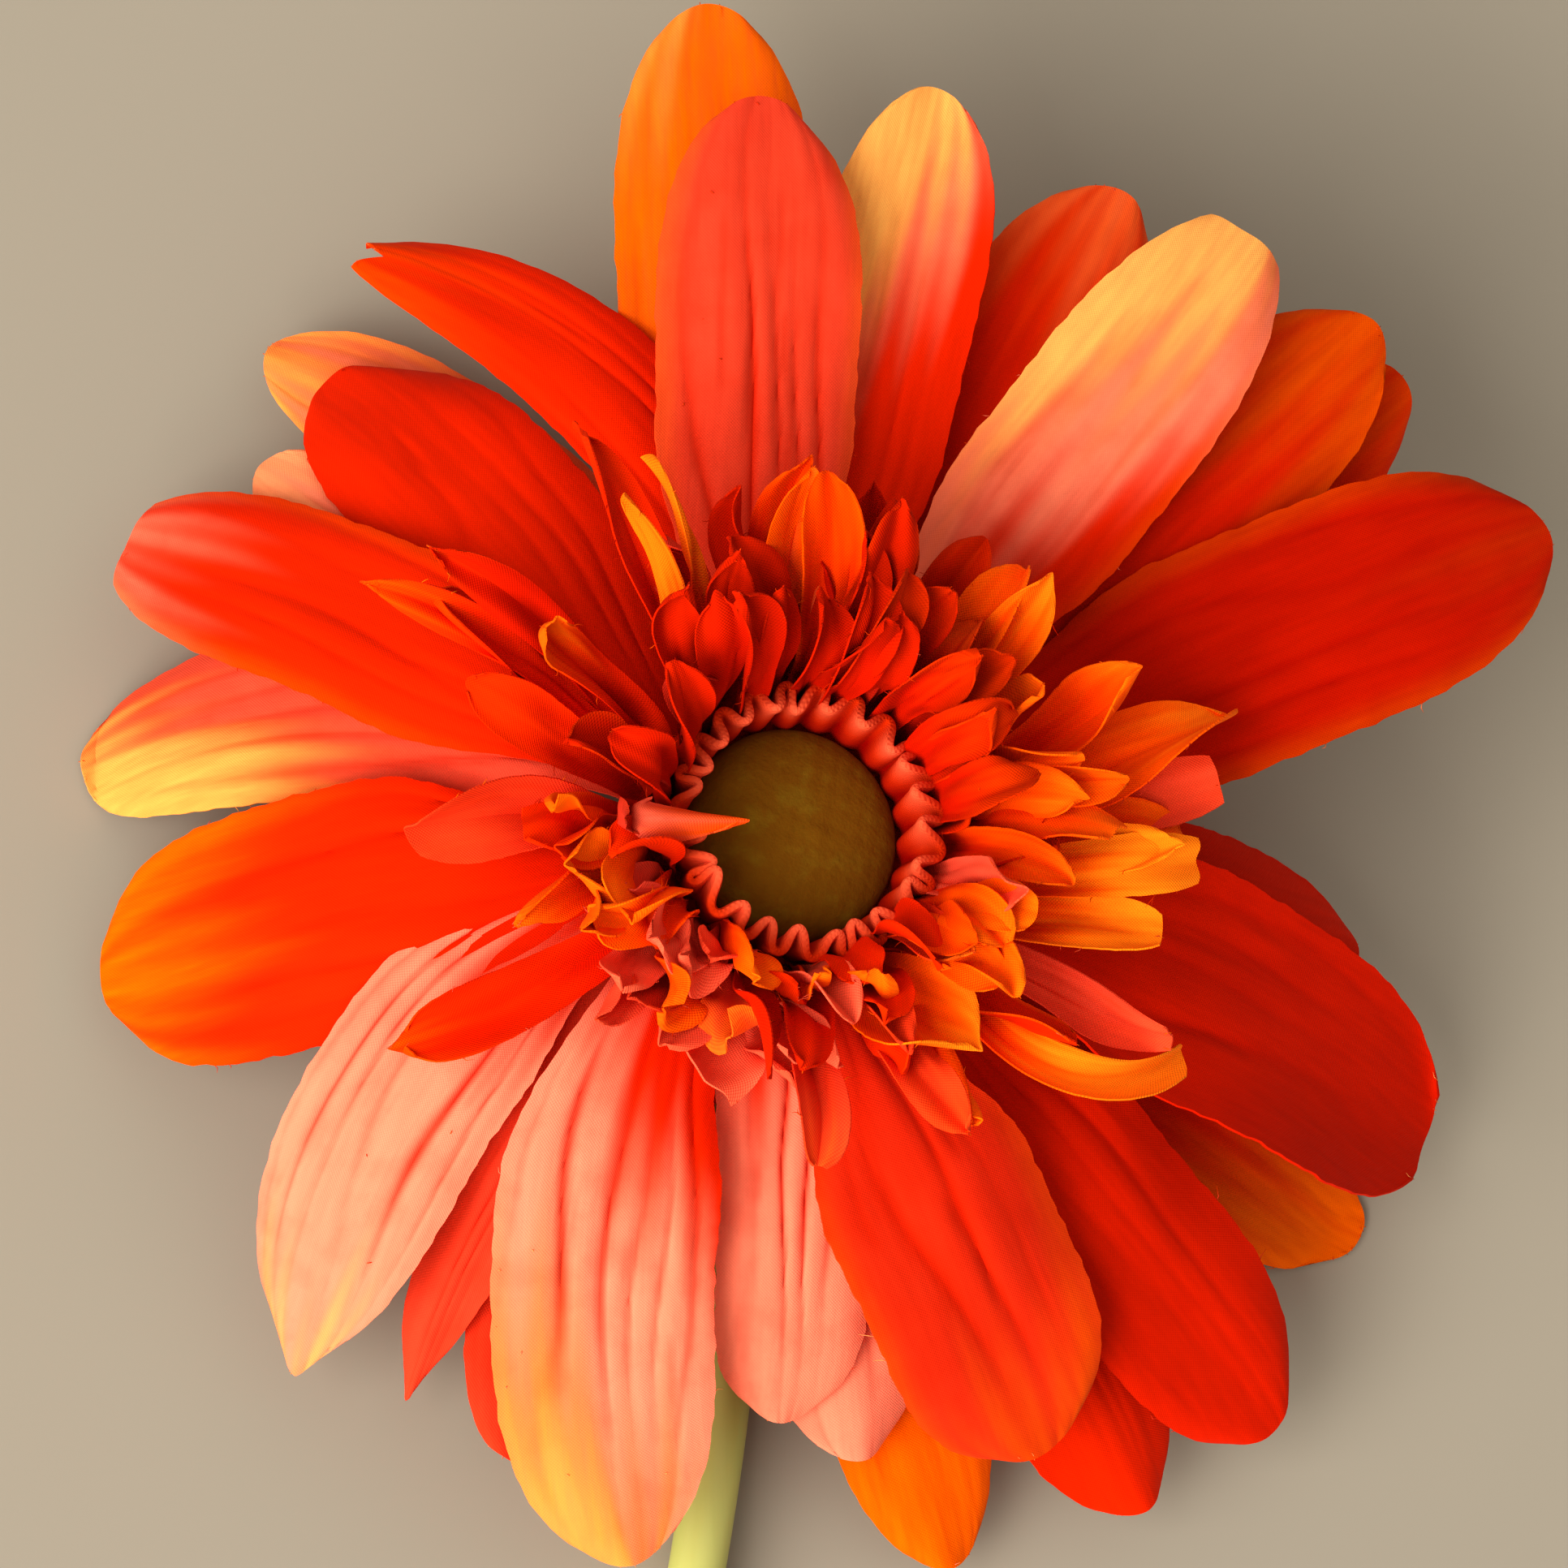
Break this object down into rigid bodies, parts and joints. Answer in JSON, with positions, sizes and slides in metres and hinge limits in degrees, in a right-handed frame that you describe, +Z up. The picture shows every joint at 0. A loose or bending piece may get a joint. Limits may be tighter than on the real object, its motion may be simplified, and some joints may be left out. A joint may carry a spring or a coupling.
{
  "type": "artificial gerbera daisy",
  "caption": "Cloth gerbera daisy with layered ray petals, a frilled collar and an olive disc, lying face up with its stem bent under the bloom.",
  "frame": {"origin": "middle of the whole flower's footprint, at the surface it lies on", "axes": "+Z up, out of the bloom's face; the cut end of the stem points to -Y, so the flower is longest along Y"},
  "size_m": [0.1134, 0.252, 0.0422],
  "materials": {
    "stem_plastic": "smooth moulded, slight sheen",
    "wire": "drawn wire",
    "calyx_plastic": "moulded, matt",
    "ray_cloth": "dyed woven polyester with pressed ridges, red-orange turning orange at the tips",
    "collar_cloth": "dyed woven polyester, red with orange and yellow tips",
    "tooth_cloth": "crimped woven strip, red-orange with paler edges",
    "disc_felt": "flocked, olive brown, finely dimpled"
  },
  "bodies": {
    "root": {"stem": "stem_plastic", "wire_core": "wire", "calyx": "calyx_plastic", "rays_bottom": "ray_cloth", "rays_lower": "ray_cloth", "rays_middle": "ray_cloth", "rays_upper": "ray_cloth", "collar_outer": "collar_cloth", "collar_middle": "collar_cloth", "collar_inner": "collar_cloth", "bead_ring": "tooth_cloth", "disc": "disc_felt"}
  },
  "joints": []
}
